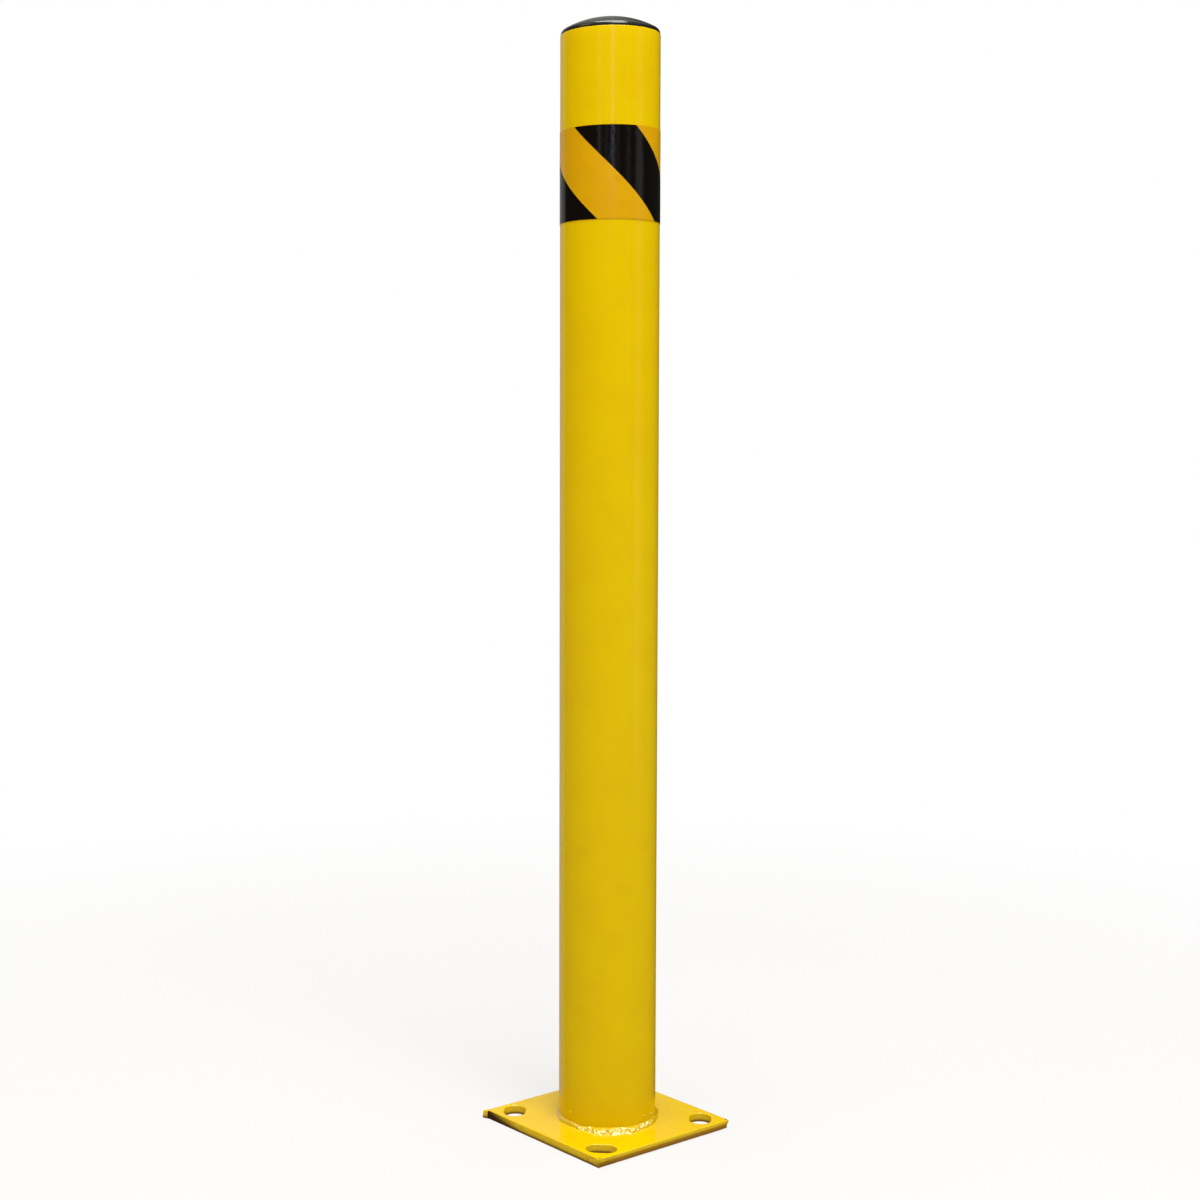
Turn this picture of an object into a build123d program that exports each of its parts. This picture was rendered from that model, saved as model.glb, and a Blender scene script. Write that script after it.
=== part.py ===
from build123d import *
from math import degrees, radians, sqrt, tan
import os

os.makedirs("parts", exist_ok=True)

# Steel safety bollard, in millimetres. The origin is on the ground, on the post's
# axis. +Z is up, and the base plate's edges run along X and Y.

# Driving dimensions: the post and its plate
post_height = 1000.0  # from the ground to the tube's rim
post_diameter = 90.0
post_wall = 3.0
rim_round = 0.5  # the coat softens the sawn rim
plate_side = 160.0
plate_thickness = 8.0
plate_edge_round = 0.8

# The anchor slots lie across the plate's diagonals
slot_count = 4
slot_width = 20.0
slot_length = 28.0
slot_circle_radius = 87.0

# The fillet weld round the foot
weld_leg = 5.0  # along the plate
weld_height = 4.4  # up the tube
weld_bulge = 0.7  # how far the bead swells past a straight face

# The end cap, a moulded plug with a domed head
cap_seat_gap = 0.2  # between the rim and the underside of the head
cap_radius = 44.6
cap_side = 3.1  # height of the head's side, before its shoulder is rounded
cap_shoulder = 4.0
crown_rise = 12.2
cap_wall = 3.0
plug_radius = 39.6
plug_wall = 2.4
plug_depth = 30.0
plug_lead_in = 1.2
fin_clearance = 0.3  # between the grip fins and the tube's bore
fin_thickness = 1.4
fin_spacing = 8.0
fin_count = 3
web_thickness = 2.0
web_depth = 14.0  # below the rim

# The hazard tape: one strip of film, lapped at the back, with printed bars
tape_bottom = 832.5
tape_width = 82.2
film_thickness = 0.3
lap_length = 12.0
seam_angle = 48.0  # where the strip ends, seen from above, from +X
print_thickness = 0.1
bar_slope = 44.5  # degrees from level
bar_length = 59.2  # round the post
bar_pitch = 118.5  # round the post, from one bar to the next
first_bar_angle = -176.2  # left end of the front bar's upper edge, from +X

# Worked out from those
post_radius = post_diameter / 2
bore_radius = post_radius - post_wall
cap_seat = post_height + cap_seat_gap
film_radius = post_radius + film_thickness
lap_radius = film_radius + film_thickness
degrees_per_mm = degrees(1 / film_radius)
lap_sweep = lap_length * degrees_per_mm


# Base plate: flat square steel, with four slots for anchors
with BuildPart() as base_plate:
    with BuildSketch():
        Rectangle(plate_side, plate_side)
        with PolarLocations(slot_circle_radius, slot_count, start_angle=45):
            SlotOverall(slot_length, slot_width, rotation=90, mode=Mode.SUBTRACT)
    extrude(amount=plate_thickness)
    fillet(base_plate.faces().sort_by(Axis.Z)[-1].edges(), plate_edge_round)
base_plate.part.label = "base_plate"


# Post tube: stands on the plate, open at the top
with BuildPart() as post_tube:
    with BuildSketch(Plane.XY.offset(plate_thickness)):
        Circle(post_radius)
        Circle(bore_radius, mode=Mode.SUBTRACT)
    extrude(amount=post_height - plate_thickness)
    fillet(post_tube.faces().sort_by(Axis.Z)[-1].edges(), rim_round)
post_tube.part.label = "post_tube"


# Foot weld: one bead all round, slightly swollen
with BuildPart() as foot_weld:
    with BuildSketch(Plane.XZ):
        with BuildLine():
            toe = (post_radius + weld_leg, plate_thickness)
            crest = (post_radius, plate_thickness + weld_height)
            root = (post_radius, plate_thickness)
            SagittaArc(toe, crest, -weld_bulge)
            Polyline(crest, root, toe)
        make_face()
    revolve(axis=Axis.Z)
foot_weld.part.label = "foot_weld"


# End cap: domed head, hollow plug, grip fins and a cross of stiffening webs
crown_radius = (cap_radius**2 + crown_rise**2) / (2 * crown_rise)
cap_top = cap_seat + cap_side + crown_rise
crown_centre = cap_top - crown_radius
plug_bore = plug_radius - plug_wall


def crown_height(sphere_radius, offset):
    """Height of a sphere about the crown's centre, at this offset from the axis."""
    return crown_centre + sqrt(sphere_radius**2 - offset**2)


with BuildPart() as end_cap:
    with BuildSketch(Plane.XZ) as head:
        with BuildLine():
            side = Line((cap_radius, cap_seat), (cap_radius, cap_seat + cap_side))
            crown = RadiusArc(side @ 1, (0, cap_top), -crown_radius)
            Polyline(crown @ 1, (0, cap_seat), side @ 0)
        make_face()
        fillet(head.vertices().group_by(Axis.X)[-1].sort_by(Axis.Y)[-1], cap_shoulder)
    revolve(axis=Axis.Z)
    with BuildSketch(Plane.XY.offset(cap_seat - plug_depth)):
        Circle(plug_radius)
    extrude(amount=plug_depth)
    chamfer(end_cap.faces().sort_by(Axis.Z)[0].edges(), plug_lead_in)
    with BuildSketch(Plane.XZ):
        with BuildLine():
            wall_top = crown_height(crown_radius - cap_wall, plug_bore)
            inner_top = cap_top - cap_wall
            wall = Line((plug_bore, cap_seat - plug_depth), (plug_bore, wall_top))
            vault = RadiusArc(wall @ 1, (0, inner_top), -(crown_radius - cap_wall))
            Polyline(vault @ 1, (0, cap_seat - plug_depth), wall @ 0)
        make_face()
    revolve(axis=Axis.Z, mode=Mode.SUBTRACT)
    with BuildSketch(Plane.XZ):
        fin_base = plug_radius - fin_thickness / 2
        fin_reach = bore_radius - fin_clearance - fin_base
        first_fin = cap_seat - plug_depth / 2 + fin_spacing
        for row in range(fin_count):
            with Locations((fin_base + fin_reach / 2, first_fin - row * fin_spacing)):
                Rectangle(fin_reach, fin_thickness)
    revolve(axis=Axis.Z)
    for web_plane in (Plane.XZ, Plane.YZ):
        with BuildSketch(web_plane):
            with BuildLine():
                web_end = plug_bore + plug_wall / 2
                web_radius = crown_radius - cap_wall / 2
                web_top = crown_height(web_radius, web_end)
                foot = cap_seat - web_depth
                arch = ThreePointArc(
                    (-web_end, web_top), (0, crown_height(web_radius, 0)), (web_end, web_top)
                )
                Polyline(arch @ 1, (web_end, foot), (-web_end, foot), arch @ 0)
            make_face()
        extrude(amount=web_thickness / 2, both=True)
end_cap.part.label = "end_cap"


def band_outline(inner, outer, start, sweep):
    """Outline between two arcs about the post's axis, from one angle through another."""
    inner_arc = CenterArc((0, 0), inner, start, sweep)
    outer_arc = CenterArc((0, 0), outer, start, sweep)
    Line(inner_arc @ 0, outer_arc @ 0)
    Line(inner_arc @ 1, outer_arc @ 1)


# Hazard tape: the strip goes once round the post and laps over its own start
with BuildPart() as hazard_tape:
    with BuildSketch(Plane.XY.offset(tape_bottom)):
        Circle(film_radius)
        Circle(post_radius, mode=Mode.SUBTRACT)
    extrude(amount=tape_width)
    with BuildSketch(Plane.XY.offset(tape_bottom)):
        with BuildLine():
            band_outline(film_radius, lap_radius, seam_angle, lap_sweep)
        make_face()
    extrude(amount=tape_width)
hazard_tape.part.label = "hazard_tape"


# Tape bars: slanting printed bars, cut off where the strip begins and ends
bar_lean = tape_width / tan(radians(bar_slope)) * degrees_per_mm
bar_sweep = bar_length * degrees_per_mm
pitch_sweep = bar_pitch * degrees_per_mm


def printed_bar(left_end, under_radius, window_start, window_sweep):
    """One bar, from the angle of its upper left corner, on a layer of this radius.

    Each level of the bar is the same arc, turned further round the lower it lies.
    The bar is a thin skin on the layer, and only what falls in the window is kept.
    """
    with BuildSketch(Plane.XY.offset(tape_bottom)) as level:
        with BuildLine():
            band_outline(bore_radius, plate_side / 2, left_end + bar_lean, bar_sweep)
        make_face()
    with BuildPart() as bar:
        add(
            Solid.extrude_linear_with_rotation(
                level.sketch.face(), (0, 0, tape_bottom), (0, 0, tape_width), -bar_lean
            )
        )
        with BuildSketch(Plane.XY.offset(tape_bottom)):
            with BuildLine():
                print_radius = under_radius + print_thickness
                band_outline(under_radius, print_radius, window_start, window_sweep)
            make_face()
        extrude(amount=tape_width, mode=Mode.INTERSECT)
    return bar.part


strip_start = seam_angle + lap_sweep - 360
strip_window = (strip_start, 360 - lap_sweep)
lap_window = (seam_angle, lap_sweep)
with BuildPart() as tape_bars:
    for bar_number in (-1, 0, 1):
        add(printed_bar(first_bar_angle + bar_number * pitch_sweep, film_radius, *strip_window))
    add(printed_bar(first_bar_angle + pitch_sweep, lap_radius, *lap_window))
tape_bars.part.label = "tape_bars"


for piece in (base_plate, post_tube, foot_weld, end_cap, hazard_tape, tape_bars):
    export_step(piece.part, f"parts/{piece.part.label}.step")
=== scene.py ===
import math
import random

import bmesh
import bpy
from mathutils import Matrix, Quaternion, Vector, noise


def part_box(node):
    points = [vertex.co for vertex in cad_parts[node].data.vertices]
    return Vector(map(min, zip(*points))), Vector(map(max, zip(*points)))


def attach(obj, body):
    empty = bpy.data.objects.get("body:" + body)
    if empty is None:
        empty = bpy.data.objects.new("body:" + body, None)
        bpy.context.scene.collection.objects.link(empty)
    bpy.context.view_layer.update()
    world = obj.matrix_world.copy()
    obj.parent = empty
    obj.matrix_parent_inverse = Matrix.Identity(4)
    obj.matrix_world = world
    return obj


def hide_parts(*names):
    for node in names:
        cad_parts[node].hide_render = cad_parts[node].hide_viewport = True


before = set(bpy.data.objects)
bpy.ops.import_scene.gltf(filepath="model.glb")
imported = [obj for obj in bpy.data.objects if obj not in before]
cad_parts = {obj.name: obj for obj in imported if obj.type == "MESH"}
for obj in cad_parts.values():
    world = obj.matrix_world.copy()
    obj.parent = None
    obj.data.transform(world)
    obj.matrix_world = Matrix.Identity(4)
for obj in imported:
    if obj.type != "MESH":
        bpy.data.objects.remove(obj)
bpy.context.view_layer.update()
print("frame:", ", ".join(sorted(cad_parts)))

# places that the pieces below share, all from the frame
plateLow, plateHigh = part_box("base_plate")
postLow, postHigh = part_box("post_tube")
weldLow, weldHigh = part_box("foot_weld")
capLow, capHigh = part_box("end_cap")
tapeLow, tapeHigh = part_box("hazard_tape")
postRadius = postHigh.x
postWall = 0.003
boreRadius = postRadius - postWall
capSeat = postHigh.z + 0.0002
fullTurn = 2 * math.pi


# ---- camera, floor and light

look = {
    "azimuth": -41.70,  # degrees, counted as fromPost counts them
    "distance": 1.7147,
    "height": 0.6265,
    "turnedLeft": 3.952,  # degrees off the post's axis
    "tilt": 4.473,  # degrees down
    "roll": -0.129,
    "lens": 56.04,
    "shift": 0.1,
}


def fromPost(azimuth, distance, height):
    # a point seen from the post's axis; azimuth 0 is towards -Y, growing towards +X
    turn = math.radians(azimuth)
    return Vector((math.sin(turn) * distance, -math.cos(turn) * distance, height))


def makeCamera():
    data = bpy.data.cameras.new("camera")
    data.lens = look["lens"]
    data.sensor_width = 36
    data.shift_x = look["shift"]
    data.clip_start = 0.05
    data.clip_end = 60
    camera = bpy.data.objects.new("camera", data)
    bpy.context.scene.collection.objects.link(camera)
    camera.location = fromPost(look["azimuth"], look["distance"], look["height"])
    ahead = math.radians(look["azimuth"] + look["turnedLeft"])
    down = math.radians(look["tilt"])
    aim = Vector((-math.sin(ahead) * math.cos(down), math.cos(ahead) * math.cos(down), -math.sin(down)))
    rolled = Quaternion((0, 0, 1), math.radians(look["roll"]))
    camera.rotation_euler = (aim.to_track_quat("-Z", "Y") @ rolled).to_euler()
    bpy.context.scene.camera = camera


makeCamera()
bpy.context.scene.view_settings.view_transform = "Standard"
bpy.context.scene.cycles.use_denoising = True
print("camera placed")


# ---- shader maths

class Wire:
    # one output of a node, so that sums on it read as sums
    def __init__(self, graph, socket):
        self.graph = graph
        self.socket = socket

    def maths(self, operation, first, second):
        return self.graph.node("ShaderNodeMath", {"operation": operation}, {0: first, 1: second})

    def __add__(self, other):
        return self.maths("ADD", self, other)

    __radd__ = __add__

    def __sub__(self, other):
        return self.maths("SUBTRACT", self, other)

    def __rsub__(self, other):
        return self.maths("SUBTRACT", other, self)

    def __mul__(self, other):
        return self.maths("MULTIPLY", self, other)

    __rmul__ = __mul__

    def __pow__(self, other):
        return self.maths("POWER", self, other)

    def __lt__(self, other):
        return self.maths("LESS_THAN", self, other)


class Graph:
    # the nodes of one material or of the world
    def __init__(self, tree):
        self.tree = tree
        tree.nodes.clear()

    def node(self, kind, settings=None, sockets=None, output=0):
        made = self.tree.nodes.new(kind)
        for name, value in (settings or {}).items():
            setattr(made, name, value)
        for name, value in (sockets or {}).items():
            self.feed(made.inputs[name], value)
        return Wire(self, made.outputs[output])

    def feed(self, socket, value):
        if isinstance(value, Wire):
            self.tree.links.new(value.socket, socket)
        else:
            socket.default_value = value

    def place(self):
        return self.node("ShaderNodeTexCoord", output="Object")

    def axes(self):
        spot = self.place()
        split = {"Vector": spot}
        return [self.node("ShaderNodeSeparateXYZ", None, split, axis) for axis in ("X", "Y", "Z")]

    def grain(self, spot, size, detail=2, roughness=0.5):
        # noise whose blobs are about this size, from 0 to 1
        sockets = {"Vector": spot, "Scale": 1 / size, "Detail": detail, "Roughness": roughness}
        return self.node("ShaderNodeTexNoise", None, sockets, "Fac")

    def stretch(self, spot, x, y, z):
        return self.node("ShaderNodeVectorMath", {"operation": "MULTIPLY"}, {0: spot, 1: (x, y, z)})

    def ease(self, value, low, high):
        # 0 below low, 1 above high, smooth between
        sockets = {"Value": value, "From Min": low, "From Max": high}
        return self.node("ShaderNodeMapRange", {"interpolation_type": "SMOOTHSTEP"}, sockets)

    def specks(self, spot, spacing, radius, share):
        # round spots, one to a cell, in only this share of the cells
        cell = {"Vector": spot, "Scale": 1 / spacing}
        distance = self.node("ShaderNodeTexVoronoi", None, cell, "Distance")
        tint = self.node("ShaderNodeTexVoronoi", None, cell, "Color")
        chosen = self.node("ShaderNodeSeparateColor", None, {"Color": tint}, "Red") < share
        return (1 - self.ease(distance, 0.2 * radius / spacing, radius / spacing)) * chosen

    def mix(self, share, first, second):
        # the colour inputs of a Mix node come after its number and vector ones
        return self.node("ShaderNodeMix", {"data_type": "RGBA"}, {0: share, 6: first, 7: second}, 2)

    def bump(self, height, depth):
        sockets = {"Strength": 1.0, "Distance": depth, "Height": height}
        return self.node("ShaderNodeBump", None, sockets)


class Finish(Graph):
    # one material: a Principled shader and the nodes that feed it
    def __init__(self, name, **constants):
        self.material = bpy.data.materials.new(name)
        self.material.use_nodes = True
        super().__init__(self.material.node_tree)
        self.shader = self.tree.nodes.new("ShaderNodeBsdfPrincipled")
        for socket, value in constants.items():
            self.shader.inputs[socket.replace("_", " ")].default_value = value
        output = self.tree.nodes.new("ShaderNodeOutputMaterial")
        self.tree.links.new(self.shader.outputs[0], output.inputs["Surface"])

    def paint(self, **values):
        for socket, value in values.items():
            self.feed(self.shader.inputs[socket.replace("_", " ")], value)
        return self.material


# ---- finishes

coat = {
    "yellow": (0.78, 0.53, 0.001, 1),
    "thin": (0.73, 0.45, 0.001, 1),  # where the powder lies thinner
    "speck": (0.10, 0.06, 0.01, 1),
    "roughness": 0.11,
    "peelSize": 0.0014,
    "peelDepth": 0.00005,
}


def coatBase(finish, spot):
    # what every coated piece shares: colour, roughness and height of the powder coat
    film = finish.grain(spot, 0.035, 3)
    peel = finish.grain(spot, coat["peelSize"], 1)
    swell = finish.grain(spot, 0.009, 1)
    nibs = finish.specks(spot, 0.024, 0.0007, 0.3)
    dirt = finish.specks(spot, 0.03, 0.0005, 0.22)
    colour = finish.mix(finish.ease(film, 0.35, 0.75) * 0.35, coat["yellow"], coat["thin"])
    colour = finish.mix(dirt * 0.8, colour, coat["speck"])
    height = peel + swell * 2.5 + nibs * 3
    roughness = coat["roughness"] + film * 0.06
    return colour, roughness, height


def postFinish():
    # coated outside, bare steel with some overspray inside
    finish = Finish("postCoat", Specular_IOR_Level=0.4, Specular_Tint=(1, 0.9, 0.5, 1))
    spot = finish.place()
    colour, roughness, height = coatBase(finish, spot)
    x, y, z = finish.axes()
    radius = (x * x + y * y) ** 0.5
    inside = radius < postRadius - postWall * 0.7
    rust = finish.ease(finish.grain(spot, 0.006, 4, 0.7), 0.45, 0.62)
    steel = finish.mix(rust, (0.12, 0.115, 0.11, 1), (0.17, 0.06, 0.02, 1))
    depth = postHigh.z - z
    spray = (1 - finish.ease(depth + finish.grain(spot, 0.012, 2) * 0.03, 0.012, 0.05)) * inside
    bare = inside * (1 - spray)
    colour = finish.mix(bare, colour, steel)
    return finish.paint(
        Base_Color=colour,
        Roughness=roughness + bare * (0.25 + rust * 0.2),
        Metallic=bare * (1 - rust) * 0.8,
        Normal=finish.bump(height * 1.5, coat["peelDepth"]),
    )


def plateFinish():
    finish = Finish("plateCoat", Specular_IOR_Level=0.8)
    spot = finish.place()
    colour, roughness, height = coatBase(finish, spot)
    normal = finish.node("ShaderNodeNewGeometry", output="Normal")
    upward = finish.node("ShaderNodeSeparateXYZ", None, {"Vector": normal}, "Z")
    side = 1 - finish.ease(upward * upward, 0.1, 0.35)
    x, y, z = finish.axes()
    # the sheared edge is smooth above and torn below, where the coat is thin; painted contact shade darkens
    # the bottom of each side, painted shade darkens the side at -Y, and the side at -X gets darker towards
    # its corner at +Y and towards the bottom
    tear = finish.grain(finish.stretch(spot, 1, 1, 0.25), 0.0016, 3, 0.6)
    layers = finish.grain(finish.stretch(spot, 0.12, 0.12, 1), 0.0008, 3, 0.6)
    torn = (1 - finish.ease(z + tear * 0.0015, 0.0044, 0.0064)) * side
    # painted contact shade: the bottom of each side is darkened where the plate stands on the floor
    foot = (1 - finish.ease(z + tear * 0.0015, 0.0018, 0.0042)) * side
    # the side at -Y, which is painted darker as painted shade
    shadedSide = y < 0.002 - plateHigh.x
    frontCorner = ((x + plateHigh.x) ** 2 + (y + plateHigh.x) ** 2) ** 0.5
    leftCorner = ((x + plateHigh.x) ** 2 + (y - plateHigh.x) ** 2) ** 0.5
    split = finish.ease(layers, 0.5, 0.62) * side * (1 - finish.ease(frontCorner, 0.010, 0.028))
    runOut = (x < 0.002 - plateHigh.x) * (y < plateHigh.x - 0.0015)
    # the side at -X gets darker towards its corner at +Y and towards the bottom
    darkerNearCorner = runOut * side * (1 - finish.ease(leftCorner + z * 4, 0.022, 0.075))
    # thin torn coat on every side, plus painted shade that makes the side at -Y much darker
    colour = finish.mix(torn * (0.15 + shadedSide * 0.8), colour, (0.40, 0.18, 0.001, 1))
    # painted contact shade along the bottom of the sides, strongest at -X, plus the real dark tear lines
    # near the front corner
    colour = finish.mix(foot * (0.85 - shadedSide * 0.5) + split * 0.6, colour, (0.12, 0.04, 0.003, 1))
    # darker near the corner at -X, +Y
    colour = finish.mix(darkerNearCorner, colour, (0.05, 0.015, 0.001, 1))
    return finish.paint(
        Base_Color=colour,
        Roughness=roughness + side * 0.1,
        Normal=finish.bump(height + torn * tear * 3 - split * 3, coat["peelDepth"]),
    )


def weldFinish():
    finish = Finish("weldCoat", Specular_IOR_Level=0.9, Coat_Weight=1, Coat_IOR=1.9, Coat_Roughness=0.06)
    spot = finish.place()
    colour, roughness, height = coatBase(finish, spot)
    pits = finish.grain(spot, 0.0022, 3, 0.6)
    colour = finish.mix(finish.ease(pits, 0.55, 0.8) * 0.4, colour, coat["thin"])
    return finish.paint(
        Base_Color=colour,
        Roughness=roughness * 0.6,
        Normal=finish.bump(height + pits * 7, coat["peelDepth"]),
    )


cap = {
    "plastic": (0.010, 0.012, 0.011, 1),
    "worn": (0.045, 0.038, 0.035, 1),
    "roughness": 0.18,
}


def capFinish():
    finish = Finish("capPlastic", Specular_IOR_Level=0.5)
    spot = finish.place()
    x, y, z = finish.axes()
    radius = (x * x + y * y) ** 0.5
    mottle = finish.grain(spot, 0.014, 3)
    pebble = finish.grain(spot, 0.0007, 2)
    # swirls left by the plastic as it ran out from the gate in the middle
    angle = finish.node("ShaderNodeMath", {"operation": "ARCTAN2"}, {0: y, 1: x})
    flow = finish.node("ShaderNodeCombineXYZ", None, {"X": angle * 2.2, "Y": radius * 60, "Z": 0.0})
    swirl = finish.grain(flow, 0.7, 3)
    crown = finish.ease(z, capHigh.z - 0.012, capHigh.z - 0.003)
    scuff = finish.ease(finish.grain(finish.stretch(spot, 1, 0.2, 1), 0.0016, 4, 0.7), 0.56, 0.7)
    worn = crown * (0.25 + mottle * 0.45 + scuff * 0.3)
    return finish.paint(
        Base_Color=finish.mix(worn, cap["plastic"], cap["worn"]),
        Roughness=cap["roughness"] + mottle * 0.08 + worn * 0.12 - swirl * 0.05,
        Normal=finish.bump(pebble + swirl * 0.8, 0.00003),
    )


tape = {
    "amber": (0.71, 0.375, 0.001, 1),
    "deep": (0.65, 0.31, 0.001, 1),
    "black": (0.0035, 0.0028, 0.0022, 1),
    "worn": (0.018, 0.012, 0.007, 1),
    "roughness": 0.08,
    "waveSize": 0.0013,
    "waveDepth": 0.00010,
}


def filmHeight(finish, spot):
    # the film lets the coat under it show through as a fine unevenness
    return finish.grain(spot, tape["waveSize"], 1) + finish.grain(spot, 0.012, 1) * 2


def filmScratches(finish, spot):
    return finish.ease(finish.grain(finish.stretch(spot, 1, 1, 9), 0.005, 3, 0.6), 0.6, 0.75)


def amberFinish():
    finish = Finish("tapeFilm", Specular_IOR_Level=0.4)
    spot = finish.place()
    cloud = finish.grain(spot, 0.02, 3)
    beads = finish.grain(spot, 0.0006, 1)
    scratches = filmScratches(finish, spot)
    z = finish.axes()[2]
    edge = 1 - finish.ease(z, tapeLow.z + 0.0002, tapeLow.z + 0.0015)
    colour = finish.mix(finish.ease(cloud, 0.35, 0.7) * 0.4, tape["amber"], tape["deep"])
    colour = finish.mix(edge * 0.35, colour, (0.3, 0.12, 0.01, 1))
    return finish.paint(
        Base_Color=colour,
        Roughness=tape["roughness"] + 0.1 + beads * 0.08 + scratches * 0.1,
        Normal=finish.bump(filmHeight(finish, spot), tape["waveDepth"]),
    )


def blackFinish():
    finish = Finish("tapePrint", Specular_IOR_Level=0.5)
    spot = finish.place()
    pinholes = finish.specks(spot, 0.006, 0.00035, 0.06)
    scratches = filmScratches(finish, spot)
    colour = finish.mix(scratches * 0.5, tape["black"], tape["worn"])
    colour = finish.mix(pinholes, colour, tape["deep"])
    return finish.paint(
        Base_Color=colour,
        Roughness=tape["roughness"] + scratches * 0.12,
        Normal=finish.bump(filmHeight(finish, spot), tape["waveDepth"]),
    )


# ---- helpers for meshes

def spinRound(bm, section, steps, closed=True):
    # turns a section, drawn as radius and height, once round the post's axis
    corners = [bm.verts.new((radius, 0, height)) for radius, height in section]
    pairs = zip(corners, corners[1:] + corners[:1] if closed else corners[1:])
    edges = [bm.edges.new(pair) for pair in pairs]
    bmesh.ops.spin(
        bm, geom=corners + edges, cent=(0, 0, 0), axis=(0, 0, 1),
        angle=fullTurn, steps=steps, use_merge=True,
    )
    bmesh.ops.remove_doubles(bm, verts=bm.verts, dist=1e-6)
    bmesh.ops.recalc_face_normals(bm, faces=bm.faces)


def radiusOf(vert):
    return math.hypot(vert.co.x, vert.co.y)


def ripple(spot, size, seed):
    # signed noise of about this size
    return noise.noise(spot / size + Vector((seed, seed * 0.7, seed * 1.3)))


def arcPoints(centre, radius, start, end, steps):
    # points of an arc in the radius and height plane, angles in degrees
    turns = [math.radians(start + (end - start) * step / steps) for step in range(steps + 1)]
    return [(centre[0] + radius * math.cos(a), centre[1] + radius * math.sin(a)) for a in turns]


def finishPiece(bm, name, body, material, replaced=(), sharp=38):
    loose = [edge for edge in bm.edges if not edge.is_manifold]
    mesh = bpy.data.meshes.new(name)
    bm.to_mesh(mesh)
    bm.free()
    mesh.shade_smooth()
    mesh.set_sharp_from_angle(angle=math.radians(sharp))
    mesh.materials.append(material)
    piece = bpy.data.objects.new(name, mesh)
    bpy.context.scene.collection.objects.link(piece)
    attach(piece, body)
    if replaced:
        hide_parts(*replaced)
    print(name, len(mesh.polygons), "faces,", len(loose), "open edges")
    return piece


# ---- post

post = {
    "around": 256,
    "levels": 90,
    "rimRound": 0.0006,
    "waver": 0.00009,  # the tube is not quite straight or round
    "seamTurn": 118,  # degrees; the bead of the tube's own seam, inside
    "seamHeight": 0.0005,
    "seamWidth": 0.0022,
}


def makePost():
    bm = bmesh.new()
    low, high = postLow.z, postHigh.z
    section = [(boreRadius, low), (postRadius, low), (postRadius, high), (boreRadius, high)]
    spinRound(bm, section, post["around"])
    rim = [e for e in bm.edges if all(v.co.z > high - 1e-5 for v in e.verts)]
    rim = [e for e in rim if abs(radiusOf(e.verts[0]) - radiusOf(e.verts[1])) < 1e-5]
    bmesh.ops.bevel(
        bm, geom=rim, offset=post["rimRound"], affect="EDGES",
        segments=4, profile=0.5, material=-1,
    )
    upright = [e for e in bm.edges if abs(e.verts[0].co.z - e.verts[1].co.z) > 0.5]
    bmesh.ops.subdivide_edges(bm, edges=upright, cuts=post["levels"], use_grid_fill=True)
    seam = math.radians(post["seamTurn"])
    seamDirection = Vector((math.cos(seam), math.sin(seam), 0))
    for vert in bm.verts:
        out = Vector((vert.co.x, vert.co.y, 0)).normalized()
        away = ripple(Vector((vert.co.x, vert.co.y, vert.co.z * 0.35)), 0.05, 3)
        vert.co += out * away * post["waver"]
        if radiusOf(vert) < boreRadius + postWall / 4 and out.dot(seamDirection) > 0.9:
            off = (out - seamDirection).length * boreRadius / post["seamWidth"]
            vert.co -= out * post["seamHeight"] * math.exp(-off * off * 2)
    return finishPiece(bm, "post", "post", postFinish(), ["post_tube"])


# ---- base plate

plate = {
    "edgeRound": 0.0009,
    "slotWidth": 0.020,
    "slotLength": 0.028,
    "slotCircle": 0.087,
    "rimBand": 0.0022,
    "edgeWander": 0.00018,
    "flare": 0.0005,  # the side at -X runs out towards the ground
    "undercut": 0.0009,  # the side at -Y runs in
    "cornerTuck": 0.0014,  # the corner at +X, -Y is drawn in at the bottom
    "spur": (-0.0024, 0.0029),  # a sheared tail at the corner at -X, +Y
    "spurDrop": 0.0008,
    "nick": (0.030, 0.0042, 0.0008),  # along the side at -X, how high, how deep
    "notch": (0.045, 0.0006),  # along the side at -Y, how deep
}


def slotOutline(bm, centre, along):
    # a circle whose two halves are moved apart
    made = bmesh.ops.create_circle(bm, segments=44, radius=plate["slotWidth"] / 2)
    half = (plate["slotLength"] - plate["slotWidth"]) / 2
    for vert in made["verts"]:
        reach = vert.co.x * along.x + vert.co.y * along.y
        vert.co += along * math.copysign(half, reach) + centre


def plateOutline(bm):
    square = bmesh.ops.create_grid(bm, x_segments=1, y_segments=1, size=plateHigh.x)["verts"]
    edges = list({edge for vert in square for edge in vert.link_edges})
    bmesh.ops.delete(bm, geom=[face for face in bm.faces], context="FACES_ONLY")
    bmesh.ops.subdivide_edges(bm, edges=edges, cuts=99)


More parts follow.
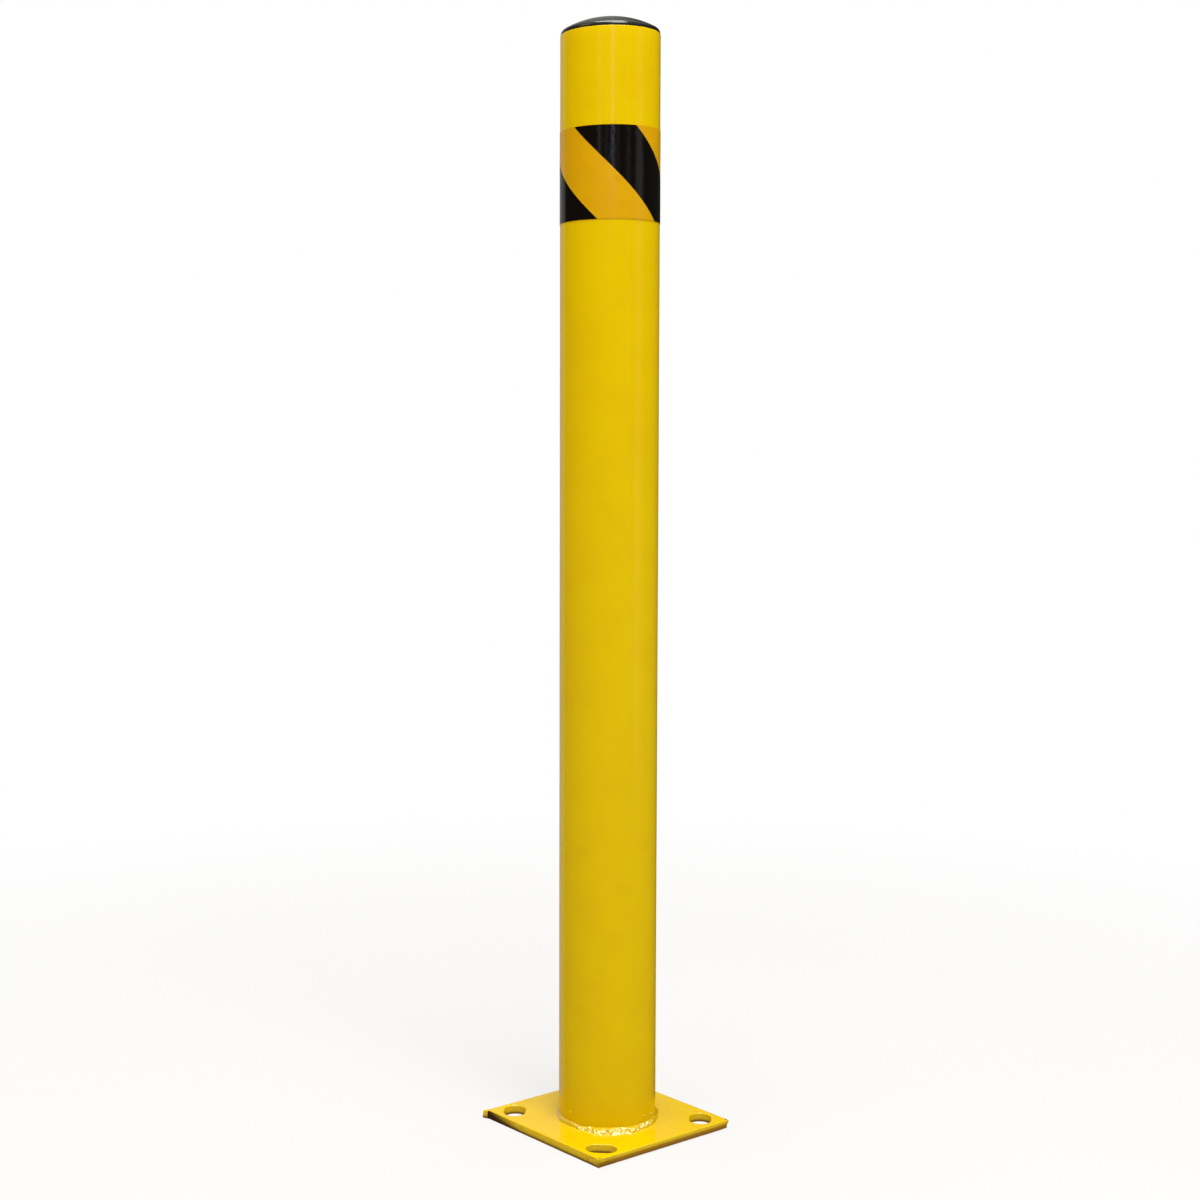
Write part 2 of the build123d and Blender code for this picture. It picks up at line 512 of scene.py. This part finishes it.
def shearEdge(vert):
    # what shearing, handling and the coat did to one point of the plate's outer edge
    side, thick = plateHigh.x, plateHigh.z
    x, y, z = vert.co
    near = plate["edgeRound"] + 0.0002
    onX, onY = abs(x) > side - near, abs(y) > side - near
    if not (onX or onY):
        return
    out = Vector((math.copysign(onX, x), math.copysign(onY, y), 0))
    depth = 1 - z / thick
    push = ripple(Vector((x, y, z * 0.5)), 0.012, 5) * plate["edgeWander"]
    if onX and x < 0:
        push += plate["flare"] * depth
        along, high, deep = plate["nick"]
        push -= deep * math.exp(-((y - along) / 0.0016) ** 2 - ((z - high) / 0.0010) ** 2)
    if onY and y < 0:
        push -= plate["undercut"] * max(0, depth * 1.5 - 0.5)
        along, deep = plate["notch"]
        push -= deep * math.exp(-((x - along) / 0.0013) ** 2) * (0.4 + z / 0.012)
    tuck = math.exp(-math.hypot(x - side, y + side) / 0.004)
    push -= tuck * max(0, depth * 1.4 - 0.4) * plate["cornerTuck"]
    if math.hypot(x + side, y + side) < 0.0010 and z < 0.0008:
        push += 0.0005
    vert.co += out * push
    if math.hypot(x + side, y - side) < near * 1.5:
        vert.co += Vector((*plate["spur"], -plate["spurDrop"] * z / thick))


def makePlate():
    bm = bmesh.new()
    plateOutline(bm)
    ring = plate["slotCircle"] / math.sqrt(2)
    for x, y in ((-1, -1), (1, -1), (1, 1), (-1, 1)):
        slotOutline(bm, Vector((x * ring, y * ring, 0)), Vector((-y, x, 0)).normalized())
    bmesh.ops.triangle_fill(bm, edges=bm.edges, use_beauty=True, use_dissolve=False, normal=(0, 0, 1))
    bmesh.ops.inset_region(
        bm, faces=bm.faces, thickness=plate["rimBand"],
        use_boundary=True, use_even_offset=True,
    )
    bmesh.ops.recalc_face_normals(bm, faces=bm.faces)
    raised = bmesh.ops.extrude_face_region(bm, geom=bm.faces[:])["geom"]
    top = plateHigh.z
    bmesh.ops.translate(bm, verts=[g for g in raised if isinstance(g, bmesh.types.BMVert)], vec=(0, 0, top))
    bmesh.ops.recalc_face_normals(bm, faces=bm.faces)
    atTop = [e for e in bm.edges if all(v.co.z > top - 1e-6 for v in e.verts)]
    rims = [e for e in atTop if len(e.link_faces) == 2 and e.calc_face_angle() > 1]
    bmesh.ops.bevel(
        bm, geom=rims, offset=plate["edgeRound"], affect="EDGES",
        segments=4, profile=0.5, material=-1,
    )
    for level in (0.0006, 0.0018, 0.0030, 0.0042, 0.0054):
        everything = bm.verts[:] + bm.edges[:] + bm.faces[:]
        bmesh.ops.bisect_plane(bm, geom=everything, plane_co=(0, 0, level), plane_no=(0, 0, 1))
    for vert in bm.verts:
        shearEdge(vert)
    return finishPiece(bm, "plate", "post", plateFinish(), ["base_plate"], 30)


# ---- weld round the foot

weld = {
    "around": 1100,
    "across": 16,
    "bulge": 0.0007,
    "rippleStep": 0.0026,
    # from and to, in degrees from +X; then how rough, how rippled, how wide and how high
    "runs": [
        (100, 190, 0.10, 0.30, 0.50, 0.80),
        (190, 200, 0.25, 0.10, 0.60, 0.55),
        (200, 216, 0.90, 0.20, 1.05, 0.80),
        (216, 240, 1.00, 0.30, 1.75, 0.92),
        (240, 262, 1.00, 0.60, 1.40, 0.95),
        (262, 288, 0.80, 0.70, 0.85, 0.95),
        (288, 330, 0.30, 0.60, 0.52, 1.00),
        (330, 460, 0.35, 0.80, 1.00, 0.95),
    ],
    # angle, height and how many degrees wide
    "lumps": [
        (194.5, 0.0012, 1.6),
        (214, 0.0006, 1.4),
        (252, 0.0005, 2.0),
        (292, 0.0008, 2.0),
        (345, 0.0010, 1.5),
    ],
}


def runAt(turn):
    # how the bead lies at this angle, eased over a few degrees between runs
    total, mixed = 0, [0, 0, 0, 0]
    for start, end, *values in weld["runs"]:
        for lap in (0, 360):
            off = max(start - turn - lap, turn + lap - end, 0)
            share = math.exp(-(off / 2.5) ** 2)
            total += share
            mixed = [m + v * share for m, v in zip(mixed, values)]
    return [m / total for m in mixed]


def makeWeld():
    bm = bmesh.new()
    toe, crest = weldHigh.x, weldHigh.z
    foot = plateHigh.z
    across = weld["across"]
    face = []
    for step in range(across + 1):
        share = step / across
        swell = math.sin(math.pi * share) * weld["bulge"]
        radius = toe + (postRadius - toe) * share
        height = foot + (crest - foot) * share
        face.append((radius + swell * 0.6, height + swell * 0.8))
    sunk = 0.0006
    root = [(postRadius - sunk, crest - sunk), (postRadius - sunk, foot - sunk)]
    root.append((toe - 2 * sunk, foot - sunk))
    spinRound(bm, face + root, weld["around"])
    for vert in bm.verts:
        radius, height = radiusOf(vert), vert.co.z
        if radius < postRadius - sunk / 2:
            continue
        turn = math.degrees(math.atan2(vert.co.y, vert.co.x)) % 360
        rough, rippled, wide, high = runAt(turn)
        out = Vector((vert.co.x / radius, vert.co.y / radius, 0))
        level = Vector((vert.co.x, vert.co.y, 0))
        share = (height - foot) / (crest - foot)
        wide *= 1 + ripple(level, 0.010, 8) * 0.35 + ripple(level, 0.004, 12) * 0.3 * rough
        high *= 1 + ripple(level, 0.011, 14) * 0.15
        vert.co = out * (postRadius + (radius - postRadius) * wide)
        vert.co.z = foot + (height - foot) * high
        if height < foot - sunk / 2:
            continue
        middle = math.sin(math.pi * min(max(share, 0.06), 0.96))
        length = math.radians(turn) * toe
        phase = length / weld["rippleStep"] + ripple(level, 0.012, 2) * 0.8 + share * share * 0.8
        wave = (phase % 1) ** 0.6 - 0.6
        swell = wave * 0.00045 * rippled * middle
        swell += ripple(vert.co, 0.0038, 4) * 0.0010 * rough * middle
        swell += ripple(vert.co, 0.0014, 6) * 0.0013 * rough * middle
        for place, size, width in weld["lumps"]:
            swell += size * math.exp(-((turn - place) / width) ** 2) * middle
        vert.co += (out * 0.7 + Vector((0, 0, 0.7))) * swell
    return finishPiece(bm, "footBead", "post", weldFinish(), ["foot_weld"], 70)


spatter = {"count": 26, "seed": 11, "smallest": 0.0004, "largest": 0.0010}


def makeSpatter():
    # small beads of spatter round the weld, under the coat, on the plate and on the tube
    rng = random.Random(spatter["seed"])
    bm = bmesh.new()
    places = [(-68.0, "tube", 0.0045, 0.0011)]
    for _ in range(spatter["count"]):
        where = rng.choice(("tube", "plate"))
        size = rng.uniform(spatter["smallest"], spatter["largest"])
        places.append((rng.uniform(0, 360), where, rng.uniform(0.001, 0.011), size))
    for turn, where, away, size in places:
        bead = bmesh.ops.create_icosphere(bm, subdivisions=2, radius=size)["verts"]
        out = Vector((math.cos(math.radians(turn)), math.sin(math.radians(turn)), 0))
        if where == "tube":
            centre = out * (postRadius - size * 0.15) + Vector((0, 0, weldHigh.z + away))
        else:
            centre = out * (weldHigh.x + away) + Vector((0, 0, plateHigh.z - size * 0.35))
        bmesh.ops.translate(bm, verts=bead, vec=centre)
    return finishPiece(bm, "weldSpatter", "post", bpy.data.materials["weldCoat"], sharp=80)


# ---- end cap

capShape = {
    "around": 144,
    "shoulder": 0.004,
    "side": 0.0031,
    "lip": 0.0003,
    "wall": 0.003,
    "plugRadius": 0.0396,
    "plugWall": 0.0024,
    "finReach": 0.0417,
    "finTops": (0.0062, 0.0142, 0.0222),  # below the head
    "finThick": 0.0010,
    "finLean": 0.0009,  # the fins lean up, and bite when the cap is pulled
    "webDepth": 0.014,
    "webThick": 0.002,
}


def capSection():
    # radius and height, from the middle of the crown round the outside and back up inside
    shape = capShape
    headRadius, top, bottom = capHigh.x, capHigh.z, capLow.z
    rise = top - capSeat - shape["side"]
    crownRadius = (headRadius**2 + rise**2) / (2 * rise)
    centre = top - crownRadius
    # the shoulder is an arc inside both the head's side and the crown
    inner = crownRadius - shape["shoulder"]
    shoulderX = headRadius - shape["shoulder"]
    shoulderZ = centre + math.sqrt(inner**2 - shoulderX**2)
    lean = math.degrees(math.atan2(shoulderZ - centre, shoulderX))
    section = arcPoints((0, centre), crownRadius, 90, lean, 30)
    section += arcPoints((shoulderX, shoulderZ), shape["shoulder"], lean, 0, 8)[1:]
    section += [(headRadius, capSeat + shape["lip"]), (headRadius - shape["lip"], capSeat)]
    section.append((shape["plugRadius"], capSeat))
    for drop in shape["finTops"]:
        high = capSeat - drop
        thick, tilt = shape["finThick"], shape["finLean"]
        section += [
            (shape["plugRadius"], high),
            (shape["finReach"], high + tilt),
            (shape["finReach"] + 0.0001, high + tilt - thick * 0.35),
            (shape["finReach"], high + tilt - thick * 0.7),
            (shape["plugRadius"], high - thick * 1.6),
        ]
    bore = shape["plugRadius"] - shape["plugWall"]
    section += [(shape["plugRadius"], bottom + 0.0012), (shape["plugRadius"] - 0.0012, bottom)]
    section += [(bore + 0.0004, bottom), (bore, bottom + 0.0004)]
    vault = crownRadius - shape["wall"]
    springing = math.degrees(math.acos(bore / vault))
    section += arcPoints((0, centre), vault, springing, 90, 14)
    return section, centre, vault, bore


def makeCap():
    bm = bmesh.new()
    section, centre, vault, bore = capSection()
    section[0], section[-1] = (0, section[0][1]), (0, section[-1][1])
    spinRound(bm, section, capShape["around"], closed=False)
    # a cross of stiffening webs under the crown
    foot = capSeat - capShape["webDepth"]
    for turn in (0, math.pi / 2):
        web = bmesh.ops.create_grid(bm, x_segments=24, y_segments=1, size=1)["verts"]
        reach = bore + capShape["plugWall"] / 2
        for vert in web:
            x = vert.co.x * reach
            roof = centre + math.sqrt((vault + capShape["wall"] / 2) ** 2 - x * x)
            vert.co = Vector((x, 0, roof if vert.co.y > 0 else foot))
        faces = list({face for vert in web for face in vert.link_faces})
        thick = bmesh.ops.solidify(bm, geom=faces, thickness=capShape["webThick"])
        turned = {v for g in thick["geom"] if isinstance(g, bmesh.types.BMFace) for v in g.verts} | set(web)
        shift = sum((v.co.y for v in turned)) / len(turned)
        for vert in turned:
            vert.co.y -= shift
            x, y = vert.co.x, vert.co.y
            vert.co.x = x * math.cos(turn) - y * math.sin(turn)
            vert.co.y = x * math.sin(turn) + y * math.cos(turn)
    bmesh.ops.recalc_face_normals(bm, faces=bm.faces)
    return finishPiece(bm, "domedCap", "cap", capFinish(), ["end_cap"], 40)


# ---- hazard tape

strip = {
    "film": 0.0003,
    "print": 0.00006,
    "lap": 0.012,
    "seamTurn": 48.0,
    "climb": 0.0016,  # how soon the end of the strip rests on its start
    "barLean": 44.5,
    "barLength": 0.0592,
    "barPitch": 0.1185,
    "firstBar": 0.10737,  # from the strip's start to the front bar's upper left corner
    "cell": 0.002,
    "lift": 0.00005,
}
stripWidth = tapeHigh.z - tapeLow.z
filmRadius = postRadius + strip["film"]
stripRound = fullTurn * filmRadius
stripLength = stripRound + strip["lap"]


def wrapRound(bm):
    # rolls what lies flat, along X and up Y, round the post; Z becomes the layer
    for vert in bm.verts:
        along, up, layer = vert.co
        turn = math.radians(strip["seamTurn"]) + along / filmRadius
        climb = min(max((along - stripRound) / strip["climb"] + 1, 0), 1)
        edge = min(up, stripWidth - up)
        lift = (ripple(Vector((along, up, 0)), 0.02, 7) + 0.4) * strip["lift"]
        lift *= min(max(edge / 0.003, 0), 1)
        radius = postRadius + layer + strip["film"] * climb * climb * (3 - 2 * climb) + lift
        vert.co = Vector((radius * math.cos(turn), radius * math.sin(turn), tapeLow.z + up))
    bmesh.ops.recalc_face_normals(bm, faces=bm.faces)


def flatSheet(bm, length, height):
    columns, rows = round(length / strip["cell"]), round(height / strip["cell"])
    made = bmesh.ops.create_grid(bm, x_segments=columns, y_segments=rows, size=1)["verts"]
    for vert in made:
        vert.co = Vector(((vert.co.x + 1) / 2 * length, (vert.co.y + 1) / 2 * height, 0))
    return made


def thicken(bm, low, high):
    # gives what lies flat a lower and an upper face
    raised = bmesh.ops.extrude_face_region(bm, geom=bm.faces[:])["geom"]
    upper = {g for g in raised if isinstance(g, bmesh.types.BMVert)}
    for vert in bm.verts:
        vert.co.z = high if vert in upper else low


def makeFilm():
    bm = bmesh.new()
    flatSheet(bm, stripLength, stripWidth)
    thicken(bm, 0.00001, strip["film"])
    wrapRound(bm)
    return finishPiece(bm, "tapeFilm", "post", amberFinish(), ["hazard_tape"])


def makeBars():
    bm = bmesh.new()
    lean = stripWidth / math.tan(math.radians(strip["barLean"]))
    for number in (-1, 0, 1):
        left = strip["firstBar"] + number * strip["barPitch"]
        for vert in flatSheet(bm, strip["barLength"], stripWidth - 0.0004):
            vert.co.y += 0.0002
            vert.co.x += left + (stripWidth - vert.co.y) / stripWidth * lean
    for end, outward in ((0.0002, -1), (stripLength - 0.0002, 1)):
        everything = bm.verts[:] + bm.edges[:] + bm.faces[:]
        bmesh.ops.bisect_plane(
            bm, geom=everything, plane_co=(end, 0, 0), plane_no=(outward, 0, 0), clear_outer=True,
        )
    thicken(bm, strip["film"] - 0.00002, strip["film"] + strip["print"])
    wrapRound(bm)
    return finishPiece(bm, "tapeBars", "post", blackFinish(), ["tape_bars"])


makePost()
makePlate()
makeWeld()
makeSpatter()
makeCap()
makeFilm()
makeBars()


# ---- floor and light

studio = {
    "pale": (1.0, 1.0, 1.0, 1),
    "paper": (0.62, 0.62, 0.62, 1),
    "glow": 0.6,  # share of the floor's paleness that comes through it from below
    "fadeFrom": 0.4,
    "fadeTo": 1.6,
    "low": (0.035, 0.028, 0.022, 1),
    "roof": (0.5, 0.49, 0.47, 1),
    "wall": (0.38, 0.36, 0.34, 1),
    "wallSides": (-125, -182),  # azimuths from the camera's side, behind and to the left
    "lampAim": 0.4,  # the height that the boxes overhead point at
}


def makeFloor():
    # a pale sheet lit a little from below, which runs out into the backdrop's paleness
    bm = bmesh.new()
    bmesh.ops.create_circle(bm, cap_ends=True, segments=96, radius=25)
    mesh = bpy.data.meshes.new("floor")
    bm.to_mesh(mesh)
    bm.free()
    finish = Finish("floorPaper", Roughness=0.9, Specular_IOR_Level=0.2)
    x, y, _ = finish.axes()
    far = finish.ease((x * x + y * y) ** 0.5, studio["fadeFrom"], studio["fadeTo"])
    fibres = finish.grain(finish.place(), 0.004, 3) * 0.1
    finish.paint(Base_Color=finish.mix(fibres, studio["paper"], (0.55, 0.55, 0.54, 1)))
    glow = finish.node("ShaderNodeEmission", None, {"Color": studio["pale"], "Strength": 1.0})
    paper = Wire(finish, finish.shader.outputs[0])
    share = studio["glow"] + far * (1 - studio["glow"])
    blend = finish.node("ShaderNodeMixShader", None, {0: share, 1: paper, 2: glow})
    finish.tree.links.new(blend.socket, finish.tree.nodes["Material Output"].inputs["Surface"])
    mesh.materials.append(finish.material)
    floor = bpy.data.objects.new("floor", mesh)
    floor.visible_glossy = False
    bpy.context.scene.collection.objects.link(floor)


def makeWorld():
    # pale to the eye; as light, a roof overhead, a wall behind on the left, dim elsewhere
    world = bpy.data.worlds.new("studio")
    bpy.context.scene.world = world
    world.use_nodes = True
    tree = world.node_tree
    sky = Graph(tree)
    way = sky.node("ShaderNodeTexCoord", output="Generated")
    up = sky.node("ShaderNodeSeparateXYZ", None, {"Vector": way}, "Z")
    light = sky.mix(sky.ease(up, 0.45, 0.75), studio["low"], studio["roof"])
    near, far = studio["wallSides"]
    onWall = 1 - sky.ease(up, 0.55, 0.75)
    for turned in (near - 90, far + 90):
        inward = fromPost(look["azimuth"] + turned, 1, 0)
        past = sky.node("ShaderNodeVectorMath", {"operation": "DOT_PRODUCT"}, {0: way, 1: inward}, "Value")
        onWall = onWall * sky.ease(past, -0.02, 0.02)
    light = sky.mix(onWall, light, studio["wall"])
    seen = sky.node("ShaderNodeLightPath", output="Is Camera Ray")
    colour = sky.mix(seen, light, studio["pale"])
    background = sky.node("ShaderNodeBackground", None, {"Color": colour, "Strength": 1.0})
    output = tree.nodes.new("ShaderNodeOutputWorld")
    tree.links.new(background.socket, output.inputs["Surface"])


# azimuth from the camera's side, distance, height of the middle, width, height, radiance, colour
lamps = {
    "keyBox": (24, 2.3, 4.0, 1.8, 1.8, 9.5, (1.0, 0.98, 0.95)),
    "topBox": (10, 0.3, 4.6, 2.3, 2.3, 11.0, (1.0, 0.98, 0.95)),
    "fillBox": (-65, 2.4, 2.6, 1.2, 1.2, 2.3, (1.0, 0.7, 0.34)),
    "farWindow": (-24, 2.6, 1.75, 0.28, 1.1, 0.65, (1.0, 0.96, 0.93)),
    "midWindow": (-8, 2.6, 1.75, 0.2, 1.1, 0.35, (1.0, 0.95, 0.92)),
    "nearWindow": (5.6, 2.6, 1.8, 0.24, 1.1, 1.9, (0.78, 0.82, 1.25)),
    "sideWindow": (17, 2.6, 1.75, 0.16, 1.1, 0.35, (1.0, 0.92, 0.88)),
    "doorEdge": (42, 2.8, 1.0, 0.16, 2.4, 0.45, (1.0, 0.9, 0.8)),
    "doorPanel": (70, 3.0, 1.0, 1.0, 2.4, 0.40, (1.0, 0.94, 0.9)),
}


def makeLamps():
    for name, (side, distance, height, width, tall, radiance, colour) in lamps.items():
        data = bpy.data.lights.new(name, "AREA")
        data.shape = "RECTANGLE"
        data.size = width
        data.size_y = tall
        data.energy = radiance * math.pi * width * tall
        data.color = colour
        lamp = bpy.data.objects.new(name, data)
        bpy.context.scene.collection.objects.link(lamp)
        lamp.location = fromPost(look["azimuth"] + side, distance, height)
        aim = Vector((0, 0, studio["lampAim"] if height > 2 else height)) - lamp.location
        lamp.rotation_euler = aim.to_track_quat("-Z", "Y").to_euler()
        lamp.visible_camera = False


makeFloor()
makeWorld()
makeLamps()
print("floor and lights placed")
